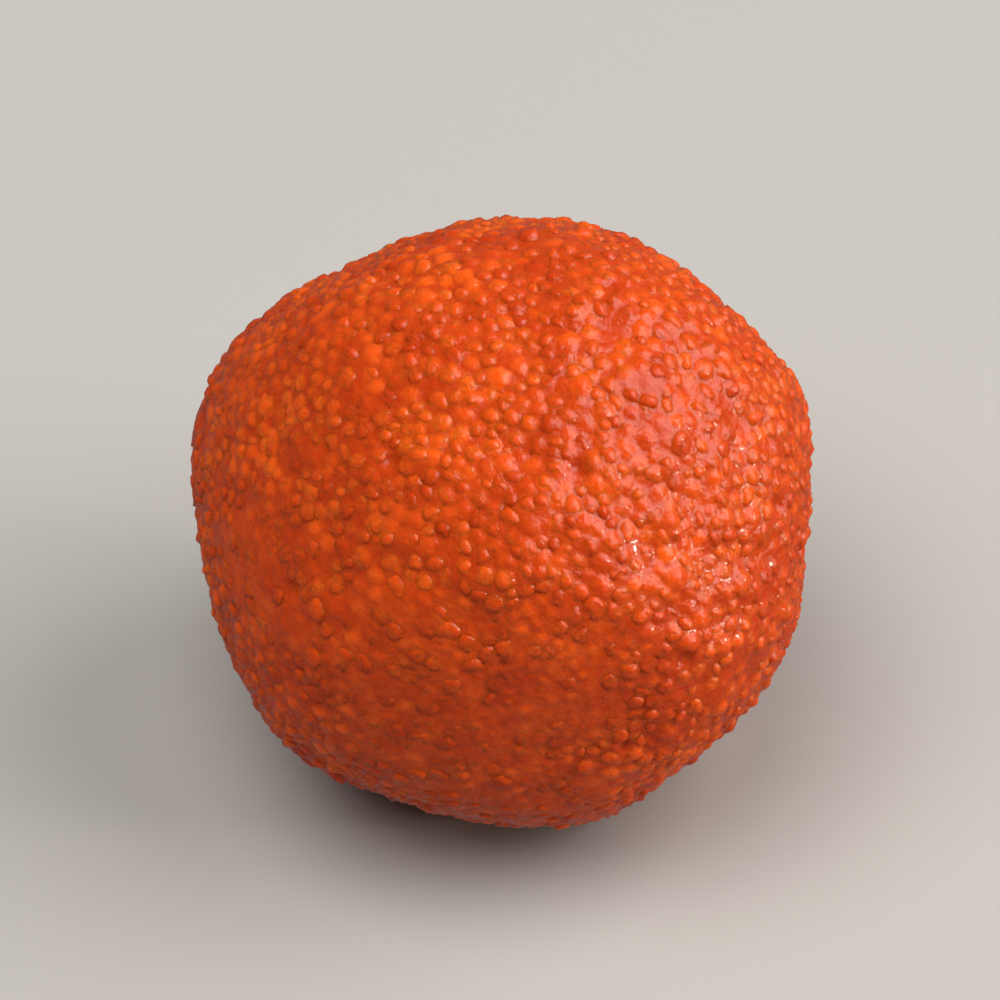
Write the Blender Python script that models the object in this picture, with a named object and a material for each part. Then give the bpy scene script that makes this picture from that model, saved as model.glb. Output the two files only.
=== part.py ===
"""A motichoor ladoo: one hand-rolled ball of tiny fried gram-flour drops, called boondi, bound with syrup.

The ball is one closed solid, in metres, +Z up, with its front towards -Y. It rests on the small flat
that its own weight presses, and the origin is under the middle of the ball, on that flat.
Run with: blender --background --python part.py
"""

import math
import random

import bmesh
import bpy
from mathutils import Vector, noise

# Driving dimensions.
BALL_RADIUS = 0.0243        # the ball as first rolled, before the palms press it
BOONDI_SPACING = 0.0021     # from one boondi's crown to the next
BOONDI_RELIEF = 0.00052     # from the hollow between boondi up to a crown
BASE_SINK = 0.0024          # height that the ball loses where it rests
PALM_BLEND = 0.0013         # softness of the edge between two pressed faces
LUMP_SIZE = 0.0095          # width of the broad swellings left by rolling
LUMP_HEIGHT = 0.00030
CLUMP_SIZE = 0.0034         # width of a few boondi that cling together and stand out together
CLUMP_HEIGHT = 0.00050

# Shares of the dimensions above.
PALM_REACH = 0.5            # cosine of the angle past which a press no longer touches the ball
CROWN_SHARE = 0.45          # of the relief lies above the rolled surface, and the rest below it
CROWN_SPREAD = 0.12         # how much taller or lower than usual a crown may be, as a share of the relief
PRESSED_RELIEF = 0.85       # of the relief is left in the middle of a pressed face
PROUD_SHARE = 0.02          # of the boondi stand proud of the rest
PROUD_HEIGHT = 0.45         # how far they stand out, as a share of the relief
SPACING_JITTER = 0.20       # sideways wander of a boondi, as a share of the spacing

HOLLOW_ANGLE = math.radians(32)  # a boondi's own faces meet more gently than this
SEED = 11

SYRUP_ORANGE = (0.56, 0.075, 0.012, 1.0)  # linear red, green, blue and alpha
SYRUP_ROUGHNESS = 0.35

# Where the palms flattened the ball: (turn from the front towards +X, angle above the horizon, depth in m).
PALM_PRESSES = {
    "top": (0, 90, 0.0010),
    "front_upper": (2, 62, 0.0013),
    "front_lower": (4, -1, 0.0017),
    "front_right": (46, 33, 0.0011),
    "front_left": (-52, 30, 0.0004),
    "front_under": (-19, -46, 0.0011),
    "right": (87, -4, 0.0025),
    "right_low": (53, -34, 0.0011),
    "right_back_high": (129, 35, 0.0025),
    "right_back_low": (108, -38, 0.0014),
    "left": (-80, -11, 0.0009),
    "left_back_low": (-110, -45, 0.0012),
    "left_back_high": (-145, 42, 0.0030),
    "back_high": (173, 48, 0.0025),
    "back_right": (150, -8, 0.0018),
    "back_left": (-145, -16, 0.0016),
    "back_under": (172, -48, 0.0012),
}


def clear_scene():
    for obj in list(bpy.data.objects):
        bpy.data.objects.remove(obj)


def direction(turn, rise):
    """The unit vector turned that far from the front (-Y) towards +X and raised that far, in degrees."""
    turn = math.radians(turn)
    rise = math.radians(rise)
    level = math.cos(rise)
    return Vector((math.sin(turn) * level, -math.cos(turn) * level, math.sin(rise)))


def rolled_radius(towards):
    """The rolled ball's radius that way: a sphere blended with the planes of the palm presses."""
    nearness = math.exp(-BALL_RADIUS / PALM_BLEND)
    for turn, rise, depth in PALM_PRESSES.values():
        facing = towards.dot(direction(turn, rise))
        if facing > PALM_REACH:
            nearness += math.exp(-(BALL_RADIUS - depth) / facing / PALM_BLEND)
    return -PALM_BLEND * math.log(nearness)


def pressed_share(radius):
    """0 on the untouched sphere, and 1 in the middle of the deepest press."""
    deepest = max(depth for _, _, depth in PALM_PRESSES.values())
    return min(1.0, max(0.0, (BALL_RADIUS - radius) / deepest))


def unevenness(towards):
    """How far a ball rolled by hand swells that way: broad lumps with small clumps on them."""
    lump = LUMP_HEIGHT * noise.noise(towards * (BALL_RADIUS / LUMP_SIZE))
    clump = CLUMP_HEIGHT * noise.noise(towards * (BALL_RADIUS / CLUMP_SIZE))
    return lump + clump


def boondi_directions():
    """Evenly spread directions on a golden-angle spiral, each moved a little at random."""
    rng = random.Random(SEED)
    area_each = math.sqrt(3) / 2 * BOONDI_SPACING**2
    count = round(4 * math.pi * BALL_RADIUS**2 / area_each)
    golden_angle = math.pi * (3 - math.sqrt(5))
    jitter = SPACING_JITTER * BOONDI_SPACING / BALL_RADIUS
    for i in range(count):
        height = 1 - (2 * i + 1) / count
        level = math.sqrt(1 - height**2)
        turn = golden_angle * i
        point = Vector((level * math.cos(turn), level * math.sin(turn), height))
        wander = Vector((rng.uniform(-1, 1), rng.uniform(-1, 1), rng.uniform(-1, 1)))
        yield (point + jitter * wander).normalized()


def boondi_cells(bm):
    """A unit ball whose faces fan out from each boondi's crown to the hollows; returns the crowns."""
    crowns = [bm.verts.new(point) for point in boondi_directions()]
    bmesh.ops.convex_hull(bm, input=crowns)
    ridges = list(bm.edges)
    bmesh.ops.poke(bm, faces=list(bm.faces))
    bmesh.ops.rotate_edges(bm, edges=ridges)
    return crowns


def raise_boondi(bm, crowns):
    """Moves every point of the unit ball out to the rolled surface: crowns above it, hollows below it."""
    rng = random.Random(SEED)
    crowns = set(crowns)
    for vert in bm.verts:
        towards = vert.co.normalized()
        radius = rolled_radius(towards)
        relief = BOONDI_RELIEF * (1 - (1 - PRESSED_RELIEF) * pressed_share(radius))
        if vert in crowns:
            height = CROWN_SHARE + rng.uniform(-CROWN_SPREAD, CROWN_SPREAD)
            if rng.random() < PROUD_SHARE:
                height += PROUD_HEIGHT
        else:
            height = CROWN_SHARE - 1
        vert.co = towards * (radius + unevenness(towards) + height * relief)


def settle_on_base(bm):
    """Flattens the underside where the ball rests, and puts the origin under its middle, on that flat."""
    base = min(vert.co.z for vert in bm.verts) + BASE_SINK
    for vert in bm.verts:
        vert.co.z = max(vert.co.z - base, 0.0)
    for axis in (0, 1):
        low = min(vert.co[axis] for vert in bm.verts)
        high = max(vert.co[axis] for vert in bm.verts)
        for vert in bm.verts:
            vert.co[axis] -= (low + high) / 2


def boondi_material():
    """Fried gram-flour drops, dyed orange-red and wet with syrup and ghee."""
    material = bpy.data.materials.new("boondi_in_syrup")
    material.use_nodes = True
    shader = material.node_tree.nodes["Principled BSDF"]
    shader.inputs["Base Color"].default_value = SYRUP_ORANGE
    shader.inputs["Metallic"].default_value = 0.0
    shader.inputs["Roughness"].default_value = SYRUP_ROUGHNESS
    return material


def make_ladoo(collection):
    bm = bmesh.new()
    crowns = boondi_cells(bm)
    raise_boondi(bm, crowns)
    settle_on_base(bm)
    bmesh.ops.recalc_face_normals(bm, faces=list(bm.faces))
    mesh = bpy.data.meshes.new("ladoo")
    bm.to_mesh(mesh)
    bm.free()
    mesh.shade_smooth()
    mesh.set_sharp_from_angle(angle=HOLLOW_ANGLE)
    mesh.materials.append(boondi_material())
    ladoo = bpy.data.objects.new("ladoo", mesh)
    collection.objects.link(ladoo)
    return ladoo


def main():
    clear_scene()
    collection = bpy.data.collections.new("motichoor_ladoo")
    bpy.context.scene.collection.children.link(collection)
    make_ladoo(collection)


main()
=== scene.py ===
"""Dresses the motichoor ladoo: fried gram-flour drops, called boondi, held by syrup and crushed boondi.

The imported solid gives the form. It is smoothed over its bumps, and the real boondi are laid on it, each
one squeezed against its neighbours and flattened on the outside by the palms that rolled the ball.
"""

import math

import bmesh
import bpy
import numpy as np
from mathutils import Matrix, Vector, noise


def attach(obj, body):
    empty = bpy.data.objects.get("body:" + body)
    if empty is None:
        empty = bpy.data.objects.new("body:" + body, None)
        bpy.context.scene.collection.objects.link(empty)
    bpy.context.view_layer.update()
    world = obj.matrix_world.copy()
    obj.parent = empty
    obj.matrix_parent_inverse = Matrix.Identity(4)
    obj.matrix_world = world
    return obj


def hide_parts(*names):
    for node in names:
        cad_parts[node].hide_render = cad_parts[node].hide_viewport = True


MM = 0.001
SEED = 7

# Boondi as they come through the ladle: (diameter, share of them all).
BOONDI_GRADES = {
    "boondi_swollen": (1.95 * MM, 0.06),
    "boondi_whole": (1.60 * MM, 0.38),
    "boondi_small": (1.32 * MM, 0.36),
    "boondi_crumbs": (0.98 * MM, 0.20),
}
SIZE_SPREAD = 0.16              # how much a boondi differs from its grade, as a share
COVER = 0.90                    # of the surface lies under the boondi's own circles before they are pressed
ROLLS = 16                      # turns between the palms, each of which evens out the boondi a little
PUSH = 0.35                     # of an overlap is undone at each turn
NEIGHBOURS = 12                 # how many others one boondi is set against

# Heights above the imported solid's surface, which is averaged over BUMP_BLUR to take out its own bumps.
BUMP_BLUR = 1.8 * MM
CROWN_LEVEL = 0.30 * MM         # the boondi's crowns
SYRUP_LEVEL = 0.05 * MM         # the paste of syrup and fine crumbs in the hollows between them
SYRUP_GRAIN = 0.06 * MM         # how far that paste rises and falls
SYRUP_GRAIN_SIZE = 0.7 * MM
CLUMP_HEIGHT = 0.44 * MM        # boondi that cling together stand out together
CLUMP_SIZE = 2.9 * MM
LEVEL_SPREAD = 0.05 * MM        # some boondi lie higher than their neighbours
PROUD_SHARE = 0.02              # of the boondi stand well out
PROUD_LEVEL = 0.22 * MM
PIT_SHARE = 0.012               # of the places have lost their boondi
PIT_DEPTH = 0.40 * MM
PIT_FLOOR = 0.3                 # a pit's flat floor and its rim, in radii of the boondi that is gone
PIT_RIM = 1.1

# The shape of a boondi.
WHOLE_SHARE = 0.80              # of the boondi are still whole, and the rest are crushed into the core
STANDING = 0.05 * MM            # how far a whole boondi stands out of its paste, away from the smears
DOME = 1.25                     # the radius of a crown's curve, against the boondi's
STRETCH = 0.24                  # how much longer one way and narrower the other a boondi may be
LUMP_SHARE = 0.44               # a boondi's own lumps, as a share of its radius
LUMP_SIZE = 0.7 * MM
FACET_LEAN = 0.42               # how far a palm's facet leans from the ball's surface, as a tangent
SQUEEZE_SOFTNESS = 0.06 * MM    # how rounded the edges between pressed faces are
SQUEEZE_OVERLAP = 0.07 * MM     # how far each of two boondi that touch runs past the plane between them
GATHER = 0.35                   # how far a boondi's corners are gathered towards the side that shows
CRUSH_WARP = 0.22 * MM          # how far crushing has moved a boondi's outline
CRUSH_BLEND = 0.03 * MM         # how softly crushed boondi run into each other and into the paste

# Where a palm smeared the boondi smooth: (turn from the front towards +X, angle above the horizon, reach).
SMEARS = {
    "front_lower": (-12, 3, 12.0 * MM),
    "front_middle": (12, 7, 9.5 * MM),
    "front_left": (-50, 14, 8.5 * MM),
    "front_under": (4, -26, 10.5 * MM),
    "left": (-95, 8, 7.0 * MM),
    "back_left": (-150, -12, 9.0 * MM),
    "back_right": (140, 20, 7.5 * MM),
    "right_low": (88, -30, 6.5 * MM),
}
SMEAR_EDGE = 5.0 * MM           # the width over which a smear fades out
SMEAR_RAG = 2.2 * MM            # how far that edge wanders, and over what distance
SMEAR_RAG_SIZE = 3.4 * MM
SMEAR_FINE_RAG = 0.8 * MM
SMEAR_FINE_RAG_SIZE = 1.2 * MM

# What is different in the middle of a smear.
SMEAR_RISE = 0.15 * MM          # the paste stands that much higher
SMEAR_SINK = 0.045 * MM         # whole boondi lie that much lower
SMEAR_CRUSHES = 0.4             # of the boondi that were whole are crushed
SMEAR_FLATTENS = 0.6            # of a clump's height is lost
SMEAR_LEVELS = 0.7              # of a facet's lean is lost
SMEAR_BROADENS = 0.2            # is added to the radius of a crown's curve, as a share
SMEAR_SHAVES = 0.1              # of a crown's height above the boondi's middle is pressed away
SMEAR_COATS = 0.75              # of the difference between a whole boondi's tone and the paste's is lost

# Tones, from 0 for the deepest colour to 1 for the brightest.
BOONDI_TONE = 0.5               # the middle of the boondi's tones
TONE_SPREAD = 0.105             # how much one boondi differs from the next
PATCH_TONE = 0.25               # how far whole patches of boondi are brighter or deeper
PATCH_SIZE = 4.5 * MM
WHOLE_PAINTED_SHADE = 0.04             # painted shade: a whole boondi is that much deeper, against the extra light it catches standing out of the paste
SYRUP_TONE = 0.28               # the paste between the boondi
SMEAR_TONE = 0.27               # the paste that a palm has smeared over them
SMEAR_SHOWS = 0.45              # how far a crushed boondi's own tone shows through that

# Each pattern of noise has its own seed, so that no two patterns run together.
LUMP_NOISE = 1
SYRUP_NOISE = 2
RAG_NOISE = 4
FINE_RAG_NOISE = 5
PATCH_NOISE = 8
CLUMP_NOISE = 9
WARP_NOISES = (11, 12, 13)
NOISE_STEPS = (3.1, 5.7, 7.3)   # how far each seed moves its pattern along x, y and z

# How finely the shapes are worked out.
CORE_SUBDIVISIONS = 6
CORE_CUTS = 2                   # splits each face of the core into nine
CORE_CLEARANCE = 0.1 * MM       # the core ends that far above the table
DROP_SUBDIVISIONS = 2
DROP_CLEARANCE = 0.5            # a boondi's centre is at least that many radii above the table
SLOPE_STEP = 0.02               # radians to each side, over which the surface's slope is taken
GRAZING = 0.05                  # the least cosine at which a plane still cuts a ray
NEARLY_UPRIGHT = 0.9            # past this z, a facing lies too near the Z axis to be crossed with it
POINTS_AT_ONCE = 4096           # keeps the tables of distances small

# The sizes and finish of the syrup-soaked flour.
MOTTLE_SIZE = 1.6 * MM          # blotches where the flour took up more syrup or less
MOTTLE_SHARE = 0.45             # how strongly they show beside the boondi's own tones
DEEPEST_AT = 0.3                # the sums of tone and mottle that get the deepest colour and the brightest
BRIGHTEST_AT = 1.15
CRUST_GRAIN = 0.6 * MM          # real fried crust is finer, and is drawn this coarse to show
CRUST_DEPTH = 0.2 * MM          # how deep that grain looks
DEW_SIZE = 0.5 * MM             # the small wet spots that glint
DEW_EDGE = 0.48                 # the strengths of their noise at a spot's edge and where it is fully wet
DEW_FULL = 0.62
MOIST_ROUGHNESS = 0.38          # between the spots, and in them
WET_ROUGHNESS = 0.1
LIGHT_REACH = 1.1 * MM          # how far red light travels inside the flour; green and blue die out sooner

CAMERA_RISE = 42                # degrees above the horizon
CAMERA_DISTANCE = 0.62          # metres from the ladoo's middle
FLOOR_DROP = 0.02 * MM          # keeps the floor clear of the ladoo's flat
FLOOR_REACH = 12.0              # metres from the floor's middle to its edges


def direction(turn, rise):
    """The unit vector turned that far from the front (-Y) towards +X and raised that far, in degrees."""
    turn = math.radians(turn)
    rise = math.radians(rise)
    level = math.cos(rise)
    return np.array((math.sin(turn) * level, -math.cos(turn) * level, math.sin(rise)))


def unit(vectors):
    return vectors / np.linalg.norm(vectors, axis=-1, keepdims=True)


def smoothstep(low, high, values):
    share = np.clip((values - low) / (high - low), 0.0, 1.0)
    return share * share * (3.0 - 2.0 * share)


def noise_at(points, size, seed):
    """Smooth noise from -1 to 1 at each point, with swellings that wide."""
    shift = Vector([seed * step for step in NOISE_STEPS])
    return np.array([noise.noise(Vector(point) / size + shift) for point in points])


def batches(count):
    """Slices that take that many points a few thousand at a time."""
    return [slice(start, start + POINTS_AT_ONCE) for start in range(0, count, POINTS_AT_ONCE)]


class RolledBall:
    """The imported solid's form without its bumps."""

    def __init__(self, node):
        points = np.empty(len(node.data.vertices) * 3)
        node.data.vertices.foreach_get("co", points)
        # The solid's triangles are loose, so each corner comes several times.
        points = np.unique(points.reshape(-1, 3).round(7), axis=0)
        low, high = points.min(axis=0), points.max(axis=0)
        self.centre = (low + high) / 2
        offsets = points - self.centre
        self.radii = np.linalg.norm(offsets, axis=1)
        self.ways = unit(offsets)
        self.mean_radius = self.radii.mean()

    def radius(self, towards):
        """How far out the averaged surface lies each way."""
        blur = (BUMP_BLUR / self.mean_radius) ** 2
        out = np.empty(len(towards))
        for part in batches(len(towards)):
            near = np.exp((towards[part] @ self.ways.T - 1.0) / blur)
            out[part] = near @ self.radii / near.sum(axis=1)
        return out

    def surface(self, towards):
        """Points on the averaged surface, and the way that it faces there."""
        radius = self.radius(towards)
        across = unit(np.cross(towards, np.roll(towards, 1, axis=1)))
        along = np.cross(towards, across)
        facing = towards.copy()
        for side in (across, along):
            ahead = self.radius(unit(towards + SLOPE_STEP * side))
            behind = self.radius(unit(towards - SLOPE_STEP * side))
            facing -= ((ahead - behind) / (2 * SLOPE_STEP) / radius)[:, None] * side
        return self.centre + radius[:, None] * towards, unit(facing)


def smear_share(points, ball):
    """1 where a palm smeared the boondi smooth, 0 where they stand clear, and ragged in between."""
    ragged = noise_at(points, SMEAR_RAG_SIZE, RAG_NOISE) * SMEAR_RAG
    ragged += noise_at(points, SMEAR_FINE_RAG_SIZE, FINE_RAG_NOISE) * SMEAR_FINE_RAG
    share = np.zeros(len(points))
    for turn, rise, reach in SMEARS.values():
        middle = ball.centre + ball.mean_radius * direction(turn, rise)
        gap = np.linalg.norm(points - middle, axis=1) + ragged
        share = np.maximum(share, 1.0 - smoothstep(reach - SMEAR_EDGE, reach, gap))
    return share


def clump_height(points, smear):
    """How far the boondi that cling together stand out at each point."""
    return CLUMP_HEIGHT * noise_at(points, CLUMP_SIZE, CLUMP_NOISE) * (1.0 - SMEAR_FLATTENS * smear)


def nearest_others(centres):
    """The numbers of the nearest few boondi to each one."""
    squares = (centres**2).sum(axis=1)
    gaps = squares[:, None] + squares[None] - 2 * centres @ centres.T
    np.fill_diagonal(gaps, np.inf)
    return np.argpartition(gaps, NEIGHBOURS, axis=1)[:, :NEIGHBOURS]


def scatter_boondi(ball, rng):
    """Which way each boondi lies once rolling has evened them out, its radius and its grade."""
    names = list(BOONDI_GRADES)
    diameters, shares = np.array(list(BOONDI_GRADES.values())).T
    area_each = (shares * math.pi * diameters**2 / 4).sum()
    count = round(COVER * 4 * math.pi * ball.mean_radius**2 / area_each)
    grade = rng.choice(len(names), size=count, p=shares)
    radii = diameters[grade] / 2 * (1 + rng.uniform(-SIZE_SPREAD, SIZE_SPREAD, count))

    ways = unit(rng.normal(size=(count, 3)))
    for _ in range(ROLLS):
        near = nearest_others(ways)
        offsets = ways[:, None] - ways[near]
        apart = np.linalg.norm(offsets, axis=2)
        overlap = np.maximum((radii[:, None] + radii[near]) / ball.mean_radius - apart, 0.0)
        ways = unit(ways + PUSH * (offsets * (overlap / apart)[..., None]).sum(axis=1))
    return ways, radii, np.array(names)[grade]


class BoondiLayer:
    """The outer layer: each boondi's place, size, tone and lean, and whether rolling left it whole."""

    def __init__(self, ball):
        rng = np.random.default_rng(SEED)
        ways, self.radii, self.grades = scatter_boondi(ball, rng)
        count = len(self.radii)
        self.skin, self.facing = ball.surface(ways)
        self.smear = smear_share(self.skin, ball)
        clumps = clump_height(self.skin, self.smear)
        self.level = CROWN_LEVEL + clumps + rng.normal(0.0, LEVEL_SPREAD, count)
        self.level += np.where(rng.random(count) < PROUD_SHARE, PROUD_LEVEL, 0.0) * (1 - self.smear)
        self.pits = rng.random(count) < PIT_SHARE
        whole_share = WHOLE_SHARE * (1 - SMEAR_CRUSHES * self.smear)
        self.whole = (rng.random(count) < whole_share) & ~self.pits
        patches = PATCH_TONE * noise_at(self.skin, PATCH_SIZE, PATCH_NOISE)
        # Whole boondi get a little painted shade, against the extra light they catch where they stand out.
        tones = rng.normal(BOONDI_TONE, TONE_SPREAD, count) + patches - WHOLE_PAINTED_SHADE * self.whole
        self.tones = np.clip(tones, 0.0, 1.0)
        self.spins = rng.uniform(0.0, 2 * math.pi, count)
        lean = rng.normal(0.0, FACET_LEAN, (count, 3)) * (1 - SMEAR_LEVELS * self.smear)[:, None]
        self.facets = unit(self.facing + lean)
        self.stretch = rng.uniform(0.0, STRETCH, count)


def boondi_template():
    """A drop of a few dozen faces: its corners on a unit ball, and its faces."""
    bm = bmesh.new()
    bmesh.ops.create_icosphere(bm, subdivisions=DROP_SUBDIVISIONS, radius=1.0)
    corners = np.array([vert.co[:] for vert in bm.verts])
    faces = np.array([[vert.index for vert in face.verts] for face in bm.faces])
    bm.free()
    return corners, faces


def turned(corners, facing, spins):
    """The template's corners for each boondi, spun at random and gathered towards the side that shows."""
    helper = np.where(np.abs(facing[:, 2:]) < NEARLY_UPRIGHT, (0.0, 0.0, 1.0), (1.0, 0.0, 0.0))
    across = unit(np.cross(helper, facing))
    along = np.cross(facing, across)
    spun = across * np.cos(spins)[:, None] + along * np.sin(spins)[:, None]
    other = np.cross(facing, spun)
    ways = (
        corners[None, :, 0, None] * spun[:, None]
        + corners[None, :, 1, None] * other[:, None]
        + corners[None, :, 2, None] * facing[:, None]
    )
    return unit(ways + GATHER * facing[:, None])


def share_along(rays, way):
    """The cosine between each boondi's rays and its own way."""
    return np.einsum("gpc,gc->gp", rays, way)


def natural_reach(centres, rays, layer):
    """How far each corner lies from its boondi's centre before anything presses it: drawn out and lumpy."""
    corners = centres[:, None] + rays * layer.radii[:, None, None]
    lumps = noise_at(corners.reshape(-1, 3), LUMP_SIZE, LUMP_NOISE).reshape(len(centres), -1)
    broad = DOME * (1 + SMEAR_BROADENS * layer.smear)
    long_way = unit(np.cross(layer.facing, layer.facets))
    wide_way = np.cross(layer.facing, long_way)
    oval = share_along(rays, long_way) ** 2 - share_along(rays, wide_way) ** 2
    drawn_out = 1.0 + layer.stretch[:, None] * oval
    return layer.radii[:, None] * (broad[:, None] + LUMP_SHARE * lumps) * drawn_out


def squeezed_sides(centres, radii):
    """The planes where each boondi meets the nearest others: their ways and distances from its centre."""
    near = nearest_others(centres)
    offsets = centres[near] - centres[:, None]
    apart = np.linalg.norm(offsets, axis=2)
    meet = (apart**2 + radii[:, None] ** 2 - radii[near] ** 2) / (2 * apart)
    return offsets / apart[..., None], meet + SQUEEZE_OVERLAP


def pressed_reach(natural, rays, plane_ways, plane_distances):
    """How far each corner lies from its boondi's centre once the planes have pressed it, edges softened."""
    cosines = np.einsum("gvc,gpc->gvp", rays, plane_ways)
    to_plane = plane_distances[:, None] / np.maximum(cosines, GRAZING)
    reach = np.where(cosines > GRAZING, to_plane, np.inf)
    softened = np.exp(-natural / SQUEEZE_SOFTNESS) + np.exp(-reach / SQUEEZE_SOFTNESS).sum(axis=2)
    return -SQUEEZE_SOFTNESS * np.log(softened)


def give_tones(mesh, tones):
    """Keeps a tone for each of the mesh's points, which the material reads."""
    tone = mesh.attributes.new("tone", "FLOAT", "POINT")
    tone.data.foreach_set("value", tones.astype(np.float32))


def joined_mesh(name, corners, faces, tones):
    """One mesh of many shapes that share their faces' pattern. corners is shapes x corners x 3."""
    shapes, per_shape = corners.shape[:2]
    every_face = (faces[None] + per_shape * np.arange(shapes)[:, None, None]).reshape(-1, 3)
    mesh = bpy.data.meshes.new(name)
    mesh.from_pydata(corners.reshape(-1, 3).tolist(), [], every_face.tolist())
    mesh.shade_smooth()
    give_tones(mesh, np.repeat(tones, per_shape))
    return mesh


def add_piece(mesh, material):
    piece = bpy.data.objects.new(mesh.name, mesh)
    bpy.context.scene.collection.objects.link(piece)
    mesh.materials.append(material)
    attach(piece, "root")
    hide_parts("ladoo")


def make_boondi(layer, material):
    """One piece for each grade: its boondi still whole, pressed by each other, the palms and the table."""
    crown = (1.0 - SMEAR_SHAVES * layer.smear) * DOME * layer.radii
    centres = layer.skin + layer.facing * (layer.level - SMEAR_SINK * layer.smear - crown)[:, None]
    centres[:, 2] = np.maximum(centres[:, 2], DROP_CLEARANCE * layer.radii)
    corners, faces = boondi_template()
    rays = turned(corners, layer.facing, layer.spins)

    side_ways, side_distances = squeezed_sides(centres, layer.radii)
    table_way = np.broadcast_to((0.0, 0.0, -1.0), side_ways[:, :1].shape)
    plane_ways = np.concatenate([side_ways, layer.facets[:, None], table_way], axis=1)
    plane_distances = np.concatenate([side_distances, crown[:, None], centres[:, 2:]], axis=1)
    natural = natural_reach(centres, rays, layer)
    reach = pressed_reach(natural, rays, plane_ways, plane_distances)
    placed = centres[:, None] + rays * reach[..., None]
    placed[..., 2] = np.maximum(placed[..., 2], 0.0)

    tones = layer.tones + SMEAR_COATS * layer.smear * (SMEAR_TONE - layer.tones)
    for grade in BOONDI_GRADES:
        own = (layer.grades == grade) & layer.whole
        add_piece(joined_mesh(grade, placed[own], faces, tones[own]), material)


def crushed_relief(points, floor, smear, layer):
    """How high the crushed boondi stand at each point, fused with the syrup, and the tone there."""
    left = ~layer.pits
    middles = layer.skin[left]
    spread = 2 * DOME * layer.radii[left] * CRUSH_BLEND
    paste_level = layer.level - STANDING * (1 - layer.smear)
    crowns = np.where(layer.whole, paste_level, layer.level)[left] / CRUSH_BLEND
    tones = layer.tones[left]
    warp = np.stack([noise_at(points, LUMP_SIZE, seed) for seed in WARP_NOISES], axis=1)
    moved = points + CRUSH_WARP * warp
    paste_tones = SYRUP_TONE + (SMEAR_TONE - SYRUP_TONE) * smear
    height, tone = np.empty(len(points)), np.empty(len(points))
    for part in batches(len(points)):
        squares = (moved[part] ** 2).sum(axis=1)[:, None] + (middles**2).sum(axis=1)
        gaps = squares - 2 * moved[part] @ middles.T
        swell = np.exp(crowns - gaps / spread)
        crushed = swell.sum(axis=1)
        syrup = np.exp(floor[part] / CRUSH_BLEND)
        height[part] = CRUSH_BLEND * np.log(crushed + syrup)
        own = swell @ tones / crushed
        shows = np.maximum(crushed / (crushed + syrup), SMEAR_SHOWS * smear[part])
        tone[part] = paste_tones[part] + shows * (own - paste_tones[part])
    return height, tone


def pit_depth(points, layer):
    """How far the surface drops where a boondi has fallen out."""
    depth = np.zeros(len(points))
    for middle, radius in zip(layer.skin[layer.pits], layer.radii[layer.pits]):
        gap = np.linalg.norm(points - middle, axis=1)
        side = smoothstep(PIT_FLOOR * radius, PIT_RIM * radius, gap)
        depth = np.maximum(depth, PIT_DEPTH * (1.0 - side))
    return depth


def make_core(ball, layer, material):
    """The syrup and crushed boondi that hold the whole ones."""
    bm = bmesh.new()
    bmesh.ops.create_icosphere(bm, subdivisions=CORE_SUBDIVISIONS, radius=1.0)
    bmesh.ops.subdivide_edges(bm, edges=list(bm.edges), cuts=CORE_CUTS, use_grid_fill=True)
    towards = unit(np.array([vert.co[:] for vert in bm.verts]))
    points = ball.centre + ball.radius(towards)[:, None] * towards
    smear = smear_share(points, ball)
    floor = SYRUP_LEVEL + SMEAR_RISE * smear + clump_height(points, smear)
    floor += SYRUP_GRAIN * noise_at(points, SYRUP_GRAIN_SIZE, SYRUP_NOISE)
    height, tones = crushed_relief(points, floor, smear, layer)
    points += (height - pit_depth(points, layer))[:, None] * towards
    points[:, 2] = np.maximum(points[:, 2], CORE_CLEARANCE)
    for vert, point in zip(bm.verts, points):
        vert.co = point
    mesh = bpy.data.meshes.new("syrup_core")
    bm.to_mesh(mesh)
    bm.free()
    mesh.shade_smooth()
    give_tones(mesh, tones)
    add_piece(mesh, material)


def colour(hex_code):
    """Linear red, green, blue and alpha from an sRGB hex value."""
    channels = [int(hex_code[i : i + 2], 16) / 255 for i in (1, 3, 5)]
    return [c / 12.92 if c <= 0.04045 else ((c + 0.055) / 1.055) ** 2.4 for c in channels] + [1.0]


def add_node(tree, kind, inputs=None, **settings):
    """Adds a node with its settings. Each input is a value, or another node's output to link."""
    node = tree.nodes.new(kind)
    for name, value in settings.items():
        setattr(node, name, value)
    for name, value in (inputs or {}).items():
        if isinstance(value, bpy.types.NodeSocket):
            tree.links.new(value, node.inputs[name])
        else:
            node.inputs[name].default_value = value
    return node


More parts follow.
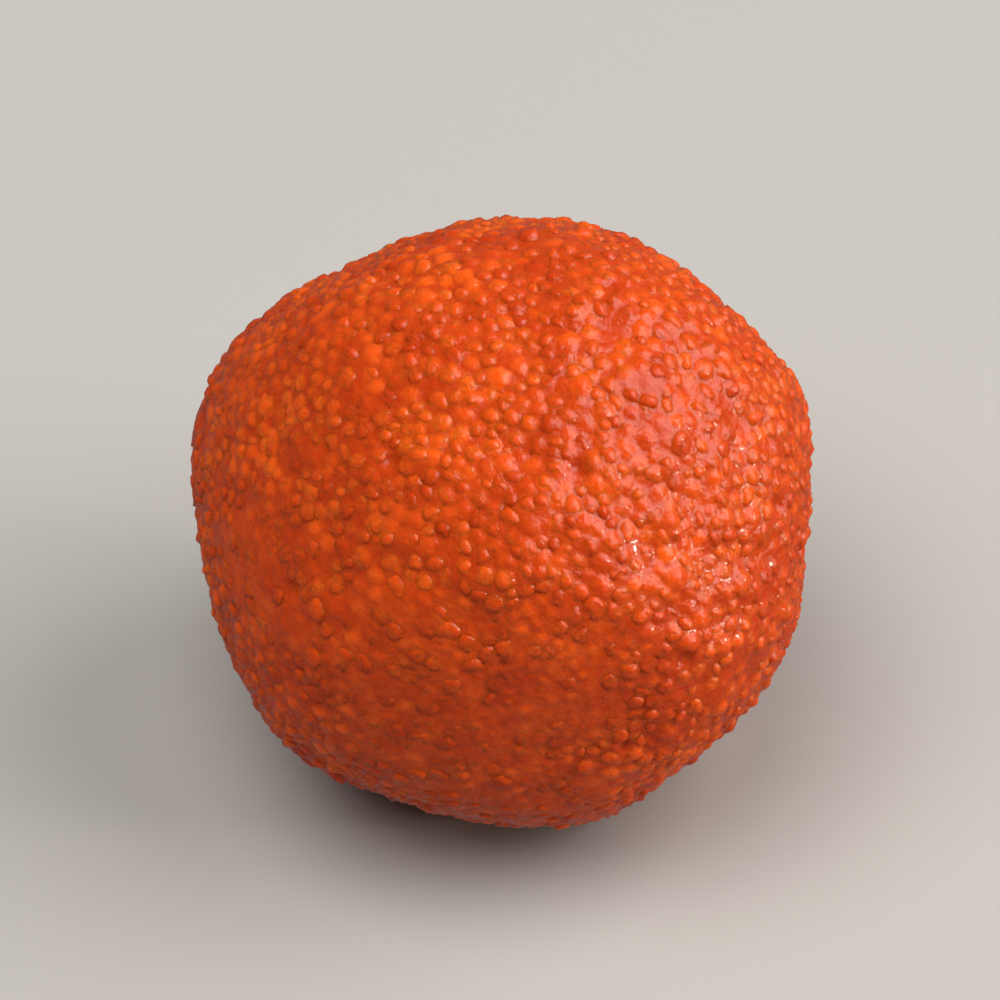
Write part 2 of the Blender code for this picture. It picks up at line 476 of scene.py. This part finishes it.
def syrup_soaked_flour(name, deep, bright):
    """Gram-flour batter fried in drops and soaked in dyed syrup and ghee.

    Light enters it and comes back redder, its colour is mottled where it took up more of the syrup, and
    its skin is moist, with wet spots that glint.
    """
    material = bpy.data.materials.new(name)
    material.use_nodes = True
    tree = material.node_tree
    tree.nodes.clear()
    place = add_node(tree, "ShaderNodeTexCoord").outputs["Object"]
    tone = add_node(tree, "ShaderNodeAttribute", attribute_name="tone").outputs["Fac"]
    mottle = add_node(
        tree,
        "ShaderNodeTexNoise",
        {"Vector": place, "Scale": 1 / MOTTLE_SIZE, "Detail": 3.0},
    )
    mottled = add_node(
        tree,
        "ShaderNodeMath",
        {0: mottle.outputs["Fac"], 1: MOTTLE_SHARE, 2: tone},
        operation="MULTIPLY_ADD",
    )
    brightness = add_node(
        tree,
        "ShaderNodeMapRange",
        {"Value": mottled.outputs[0], "From Min": DEEPEST_AT, "From Max": BRIGHTEST_AT},
        interpolation_type="SMOOTHSTEP",
    )
    # A Mix node's sockets 6 and 7 are its colours, and its output 2 is the mixed colour.
    base = add_node(
        tree,
        "ShaderNodeMix",
        {"Factor": brightness.outputs["Result"], 6: colour(deep), 7: colour(bright)},
        data_type="RGBA",
    )
    crust = add_node(
        tree,
        "ShaderNodeTexNoise",
        {"Vector": place, "Scale": 1 / CRUST_GRAIN, "Detail": 3.0, "Roughness": 0.45},
    )
    bump = add_node(
        tree,
        "ShaderNodeBump",
        {"Height": crust.outputs["Fac"], "Strength": 1.0, "Distance": CRUST_DEPTH},
    )
    dew = add_node(tree, "ShaderNodeTexNoise", {"Vector": place, "Scale": 1 / DEW_SIZE, "Detail": 1.0})
    skin = add_node(
        tree,
        "ShaderNodeMapRange",
        {
            "Value": dew.outputs["Fac"],
            "From Min": DEW_EDGE,
            "From Max": DEW_FULL,
            "To Min": MOIST_ROUGHNESS,
            "To Max": WET_ROUGHNESS,
        },
        interpolation_type="SMOOTHSTEP",
    )
    shader = add_node(
        tree,
        "ShaderNodeBsdfPrincipled",
        {
            "Base Color": base.outputs[2],
            "Roughness": skin.outputs["Result"],
            "IOR": 1.47,
            "Normal": bump.outputs["Normal"],
            "Subsurface Weight": 0.7,
            "Subsurface Radius": (1.0, 0.32, 0.14),
            "Subsurface Scale": LIGHT_REACH,
            "Specular IOR Level": 0.32,
            "Coat Weight": 0.22,
            "Coat Roughness": 0.07,
        },
    )
    add_node(tree, "ShaderNodeOutputMaterial", {"Surface": shader.outputs["BSDF"]})
    return material


def matt_board():
    """Board painted matt, which gives the eye nothing but the shadow on it."""
    material = bpy.data.materials.new("matt_board")
    material.use_nodes = True
    shader = material.node_tree.nodes["Principled BSDF"]
    shader.inputs["Base Color"].default_value = colour("#A8A6A3")
    shader.inputs["Roughness"].default_value = 0.9
    shader.inputs["Specular IOR Level"].default_value = 0.1
    return material


def make_floor():
    bm = bmesh.new()
    bmesh.ops.create_grid(bm, x_segments=1, y_segments=1, size=FLOOR_REACH)
    mesh = bpy.data.meshes.new("floor")
    bm.to_mesh(mesh)
    bm.free()
    mesh.materials.append(matt_board())
    floor = bpy.data.objects.new("floor", mesh)
    floor.location.z = -FLOOR_DROP
    floor.visible_glossy = False
    bpy.context.scene.collection.objects.link(floor)


def aim(obj, place, target):
    obj.location = Vector(place)
    obj.rotation_euler = (Vector(target) - Vector(place)).to_track_quat("-Z", "Y").to_euler()


def make_light(name, target, place, width, watts, tint, glossy=True):
    light = bpy.data.lights.new(name, "AREA")
    light.shape = "DISK"
    light.size = width
    light.energy = watts
    light.color = colour(tint)[:3]
    source = bpy.data.objects.new(name, light)
    source.visible_glossy = glossy
    bpy.context.scene.collection.objects.link(source)
    aim(source, place, target)


def light_studio(target):
    """A soft window high on the right, a ceiling to fill the shadows, a low lamp for glints, pale walls."""
    make_light("window", target, place=(1.16, -0.04, 1.14), width=1.7, watts=29.4, tint="#FFFDF9")
    make_light(
        "ceiling", target, place=(-0.45, -0.45, 1.7), width=1.5, watts=32.0, tint="#FFFCF8", glossy=False
    )
    make_light("lamp", target, place=(1.5, -0.3, 0.25), width=0.14, watts=7.5, tint="#FFF2DC")
    world = bpy.data.worlds.new("pale_walls")
    world.use_nodes = True
    background = world.node_tree.nodes["Background"]
    background.inputs["Color"].default_value = colour("#F2F2F2")
    background.inputs["Strength"].default_value = 0.15
    bpy.context.scene.world = world


def make_camera(target):
    camera_data = bpy.data.cameras.new("camera")
    camera_data.lens = 300.0
    camera_data.sensor_width = 36.0
    camera = bpy.data.objects.new("camera", camera_data)
    bpy.context.scene.collection.objects.link(camera)
    back = Vector(direction(0, CAMERA_RISE))
    aim(camera, Vector(target) + back * CAMERA_DISTANCE, target)
    bpy.context.scene.camera = camera


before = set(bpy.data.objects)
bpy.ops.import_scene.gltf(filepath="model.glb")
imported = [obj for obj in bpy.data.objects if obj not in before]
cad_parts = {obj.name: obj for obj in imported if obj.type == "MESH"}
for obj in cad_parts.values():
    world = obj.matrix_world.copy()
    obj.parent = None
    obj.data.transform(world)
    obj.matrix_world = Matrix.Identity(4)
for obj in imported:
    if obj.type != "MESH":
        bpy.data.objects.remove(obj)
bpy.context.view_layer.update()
bpy.context.scene.view_settings.view_transform = "Standard"

rolled_ball = RolledBall(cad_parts["ladoo"])
middle = tuple(rolled_ball.centre)
make_camera(middle)
light_studio(middle)
make_floor()
boondi_finish = syrup_soaked_flour("boondi_soaked_in_syrup", deep="#B13505", bright="#DC5910")
core_finish = syrup_soaked_flour("set_syrup_and_crumb", deep="#B13405", bright="#DC580F")
boondi_layer = BoondiLayer(rolled_ball)
make_core(rolled_ball, boondi_layer, core_finish)
make_boondi(boondi_layer, boondi_finish)
